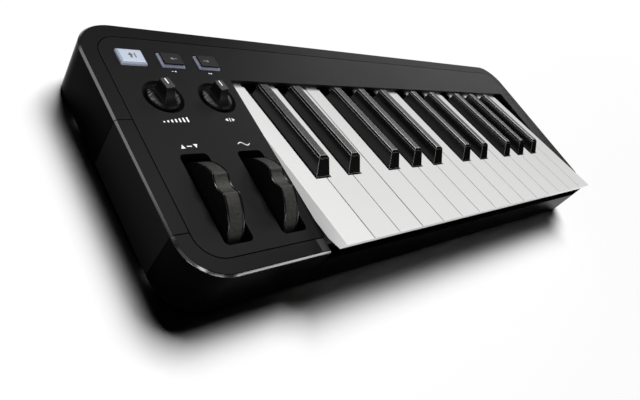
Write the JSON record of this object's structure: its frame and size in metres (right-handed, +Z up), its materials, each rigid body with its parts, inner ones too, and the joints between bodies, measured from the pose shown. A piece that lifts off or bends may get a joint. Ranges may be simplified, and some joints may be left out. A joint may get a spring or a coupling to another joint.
{
  "type": "midi keyboard",
  "caption": "Compact controller keyboard: full-size piano keys in a shallow case with control wheels, knobs and lit buttons at the left end.",
  "frame": {"origin": "middle of the footprint, on the surface that the rubber feet stand on", "axes": "+X along the keys from low to high notes, +Y from the player to the back, +Z up"},
  "size_m": [0.4654, 0.1706, 0.0486],
  "materials": {
    "case_gloss": "high gloss black",
    "case_satin": "fine satin black",
    "panel_matte": "matt charcoal with a fine grain",
    "case_matte": "moulded black",
    "key_white": "satin white",
    "key_black": "black with a fine-grained top",
    "wheel_gloss": "gloss black",
    "wheel_rubber": "textured soft grip",
    "knob_gloss": "gloss black",
    "button_translucent": "frosted translucent",
    "button_black": "black",
    "steel": "plated",
    "foot_rubber": "matt",
    "contact_rubber": "grey silicone",
    "felt": "pressed felt",
    "circuit_board": "green solder mask",
    "component": "moulded black",
    "lamp": "clear",
    "socket_metal": "folded steel"
  },
  "bodies": {
    "case": {"bottom_case": "case_matte", "rear_frame": "case_gloss", "left_side_panel": "case_satin", "right_side_panel": "case_satin", "front_corner_left": "case_gloss", "front_corner_right": "case_gloss", "front_rail": "case_gloss", "control_panel": "panel_matte", "case_screws": "steel", "rubber_feet": "foot_rubber", "key_chassis": "case_matte", "key_pivot_rod": "steel", "key_felts": "felt", "key_contact_board": "circuit_board", "contact_strip": "contact_rubber", "key_springs": "steel", "wheel_bracket": "case_matte", "pitch_spring": "steel", "rotary_pots": "component", "tact_switches": "component", "button_lamps": "lamp", "control_board": "circuit_board", "pedal_jacks": "component", "usb_port": "socket_metal"},
    "white_key_01": {"white_key_01": "key_white"},
    "white_key_02": {"white_key_02": "key_white"},
    "white_key_03": {"white_key_03": "key_white"},
    "white_key_04": {"white_key_04": "key_white"},
    "white_key_05": {"white_key_05": "key_white"},
    "white_key_06": {"white_key_06": "key_white"},
    "white_key_07": {"white_key_07": "key_white"},
    "white_key_08": {"white_key_08": "key_white"},
    "white_key_09": {"white_key_09": "key_white"},
    "white_key_10": {"white_key_10": "key_white"},
    "white_key_11": {"white_key_11": "key_white"},
    "white_key_12": {"white_key_12": "key_white"},
    "white_key_13": {"white_key_13": "key_white"},
    "white_key_14": {"white_key_14": "key_white"},
    "white_key_15": {"white_key_15": "key_white"},
    "black_key_01": {"black_key_01": "key_black"},
    "black_key_02": {"black_key_02": "key_black"},
    "black_key_03": {"black_key_03": "key_black"},
    "black_key_04": {"black_key_04": "key_black"},
    "black_key_05": {"black_key_05": "key_black"},
    "black_key_06": {"black_key_06": "key_black"},
    "black_key_07": {"black_key_07": "key_black"},
    "black_key_08": {"black_key_08": "key_black"},
    "black_key_09": {"black_key_09": "key_black"},
    "black_key_10": {"black_key_10": "key_black"},
    "pitch_wheel": {"pitch_wheel": "wheel_gloss", "pitch_grip": "wheel_rubber"},
    "mod_wheel": {"mod_wheel": "wheel_gloss", "mod_grip": "wheel_rubber"},
    "volume_knob": {"volume_knob": "knob_gloss"},
    "pan_knob": {"pan_knob": "knob_gloss"},
    "shift_button": {"shift_button": "button_translucent"},
    "octave_down_button": {"octave_down_button": "button_translucent", "octave_down_cap": "button_black"},
    "octave_up_button": {"octave_up_button": "button_translucent", "octave_up_cap": "button_black"}
  },
  "joints": [
    {"name": "white_key_01_hinge", "type": "hinge", "parent": "case", "child": "white_key_01", "pos_m": [0, 0.06386, 0.02118], "axis": [1, 0, 0], "range_deg": [0, 3.8], "stiffness_Nm_per_rad": 0.45, "springref_deg": -7.45},
    {"name": "white_key_02_hinge", "type": "hinge", "parent": "case", "child": "white_key_02", "pos_m": [0, 0.06386, 0.02118], "axis": [1, 0, 0], "range_deg": [0, 3.8], "stiffness_Nm_per_rad": 0.45, "springref_deg": -7.45},
    {"name": "white_key_03_hinge", "type": "hinge", "parent": "case", "child": "white_key_03", "pos_m": [0, 0.06386, 0.02118], "axis": [1, 0, 0], "range_deg": [0, 3.8], "stiffness_Nm_per_rad": 0.45, "springref_deg": -7.45},
    {"name": "white_key_04_hinge", "type": "hinge", "parent": "case", "child": "white_key_04", "pos_m": [0, 0.06386, 0.02118], "axis": [1, 0, 0], "range_deg": [0, 3.8], "stiffness_Nm_per_rad": 0.45, "springref_deg": -7.45},
    {"name": "white_key_05_hinge", "type": "hinge", "parent": "case", "child": "white_key_05", "pos_m": [0, 0.06386, 0.02118], "axis": [1, 0, 0], "range_deg": [0, 3.8], "stiffness_Nm_per_rad": 0.45, "springref_deg": -7.45},
    {"name": "white_key_06_hinge", "type": "hinge", "parent": "case", "child": "white_key_06", "pos_m": [0, 0.06386, 0.02118], "axis": [1, 0, 0], "range_deg": [0, 3.8], "stiffness_Nm_per_rad": 0.45, "springref_deg": -7.45},
    {"name": "white_key_07_hinge", "type": "hinge", "parent": "case", "child": "white_key_07", "pos_m": [0, 0.06386, 0.02118], "axis": [1, 0, 0], "range_deg": [0, 3.8], "stiffness_Nm_per_rad": 0.45, "springref_deg": -7.45},
    {"name": "white_key_08_hinge", "type": "hinge", "parent": "case", "child": "white_key_08", "pos_m": [0, 0.06386, 0.02118], "axis": [1, 0, 0], "range_deg": [0, 3.8], "stiffness_Nm_per_rad": 0.45, "springref_deg": -7.45},
    {"name": "white_key_09_hinge", "type": "hinge", "parent": "case", "child": "white_key_09", "pos_m": [0, 0.06386, 0.02118], "axis": [1, 0, 0], "range_deg": [0, 3.8], "stiffness_Nm_per_rad": 0.45, "springref_deg": -7.45},
    {"name": "white_key_10_hinge", "type": "hinge", "parent": "case", "child": "white_key_10", "pos_m": [0, 0.06386, 0.02118], "axis": [1, 0, 0], "range_deg": [0, 3.8], "stiffness_Nm_per_rad": 0.45, "springref_deg": -7.45},
    {"name": "white_key_11_hinge", "type": "hinge", "parent": "case", "child": "white_key_11", "pos_m": [0, 0.06386, 0.02118], "axis": [1, 0, 0], "range_deg": [0, 3.8], "stiffness_Nm_per_rad": 0.45, "springref_deg": -7.45},
    {"name": "white_key_12_hinge", "type": "hinge", "parent": "case", "child": "white_key_12", "pos_m": [0, 0.06386, 0.02118], "axis": [1, 0, 0], "range_deg": [0, 3.8], "stiffness_Nm_per_rad": 0.45, "springref_deg": -7.45},
    {"name": "white_key_13_hinge", "type": "hinge", "parent": "case", "child": "white_key_13", "pos_m": [0, 0.06386, 0.02118], "axis": [1, 0, 0], "range_deg": [0, 3.8], "stiffness_Nm_per_rad": 0.45, "springref_deg": -7.45},
    {"name": "white_key_14_hinge", "type": "hinge", "parent": "case", "child": "white_key_14", "pos_m": [0, 0.06386, 0.02118], "axis": [1, 0, 0], "range_deg": [0, 3.8], "stiffness_Nm_per_rad": 0.45, "springref_deg": -7.45},
    {"name": "white_key_15_hinge", "type": "hinge", "parent": "case", "child": "white_key_15", "pos_m": [0, 0.06386, 0.02118], "axis": [1, 0, 0], "range_deg": [0, 3.8], "stiffness_Nm_per_rad": 0.45, "springref_deg": -7.45},
    {"name": "black_key_01_hinge", "type": "hinge", "parent": "case", "child": "black_key_01", "pos_m": [0, 0.06386, 0.02118], "axis": [1, 0, 0], "range_deg": [0, 4.4], "stiffness_Nm_per_rad": 0.45, "springref_deg": -7.45},
    {"name": "black_key_02_hinge", "type": "hinge", "parent": "case", "child": "black_key_02", "pos_m": [0, 0.06386, 0.02118], "axis": [1, 0, 0], "range_deg": [0, 4.4], "stiffness_Nm_per_rad": 0.45, "springref_deg": -7.45},
    {"name": "black_key_03_hinge", "type": "hinge", "parent": "case", "child": "black_key_03", "pos_m": [0, 0.06386, 0.02118], "axis": [1, 0, 0], "range_deg": [0, 4.4], "stiffness_Nm_per_rad": 0.45, "springref_deg": -7.45},
    {"name": "black_key_04_hinge", "type": "hinge", "parent": "case", "child": "black_key_04", "pos_m": [0, 0.06386, 0.02118], "axis": [1, 0, 0], "range_deg": [0, 4.4], "stiffness_Nm_per_rad": 0.45, "springref_deg": -7.45},
    {"name": "black_key_05_hinge", "type": "hinge", "parent": "case", "child": "black_key_05", "pos_m": [0, 0.06386, 0.02118], "axis": [1, 0, 0], "range_deg": [0, 4.4], "stiffness_Nm_per_rad": 0.45, "springref_deg": -7.45},
    {"name": "black_key_06_hinge", "type": "hinge", "parent": "case", "child": "black_key_06", "pos_m": [0, 0.06386, 0.02118], "axis": [1, 0, 0], "range_deg": [0, 4.4], "stiffness_Nm_per_rad": 0.45, "springref_deg": -7.45},
    {"name": "black_key_07_hinge", "type": "hinge", "parent": "case", "child": "black_key_07", "pos_m": [0, 0.06386, 0.02118], "axis": [1, 0, 0], "range_deg": [0, 4.4], "stiffness_Nm_per_rad": 0.45, "springref_deg": -7.45},
    {"name": "black_key_08_hinge", "type": "hinge", "parent": "case", "child": "black_key_08", "pos_m": [0, 0.06386, 0.02118], "axis": [1, 0, 0], "range_deg": [0, 4.4], "stiffness_Nm_per_rad": 0.45, "springref_deg": -7.45},
    {"name": "black_key_09_hinge", "type": "hinge", "parent": "case", "child": "black_key_09", "pos_m": [0, 0.06386, 0.02118], "axis": [1, 0, 0], "range_deg": [0, 4.4], "stiffness_Nm_per_rad": 0.45, "springref_deg": -7.45},
    {"name": "black_key_10_hinge", "type": "hinge", "parent": "case", "child": "black_key_10", "pos_m": [0, 0.06386, 0.02118], "axis": [1, 0, 0], "range_deg": [0, 4.4], "stiffness_Nm_per_rad": 0.45, "springref_deg": -7.45},
    {"name": "pitch_wheel_turn", "type": "hinge", "parent": "case", "child": "pitch_wheel", "pos_m": [-0.1992, -0.03887, 0.0212], "axis": [1, 0, 0], "range_deg": [-25, 25], "stiffness_Nm_per_rad": 0.06},
    {"name": "mod_wheel_turn", "type": "hinge", "parent": "case", "child": "mod_wheel", "pos_m": [-0.16275, -0.03887, 0.0212], "axis": [1, 0, 0], "range_deg": [-25, 25]},
    {"name": "volume_knob_turn", "type": "hinge", "parent": "case", "child": "volume_knob", "pos_m": [-0.1984, 0.02945, 0.03], "axis": [0, 0, 1], "range_deg": [-150, 150]},
    {"name": "pan_knob_turn", "type": "hinge", "parent": "case", "child": "pan_knob", "pos_m": [-0.1632, 0.02945, 0.03], "axis": [0, 0, 1], "range_deg": [-150, 150]},
    {"name": "shift_press", "type": "slide", "parent": "case", "child": "shift_button", "axis": [0, 0, -1], "range_m": [0, 0.0008], "stiffness_N_per_m": 600, "springref_m": -0.0015},
    {"name": "octave_down_press", "type": "slide", "parent": "case", "child": "octave_down_button", "axis": [0, 0, -1], "range_m": [0, 0.0008], "stiffness_N_per_m": 600, "springref_m": -0.0015},
    {"name": "octave_up_press", "type": "slide", "parent": "case", "child": "octave_up_button", "axis": [0, 0, -1], "range_m": [0, 0.0008], "stiffness_N_per_m": 600, "springref_m": -0.0015}
  ]
}
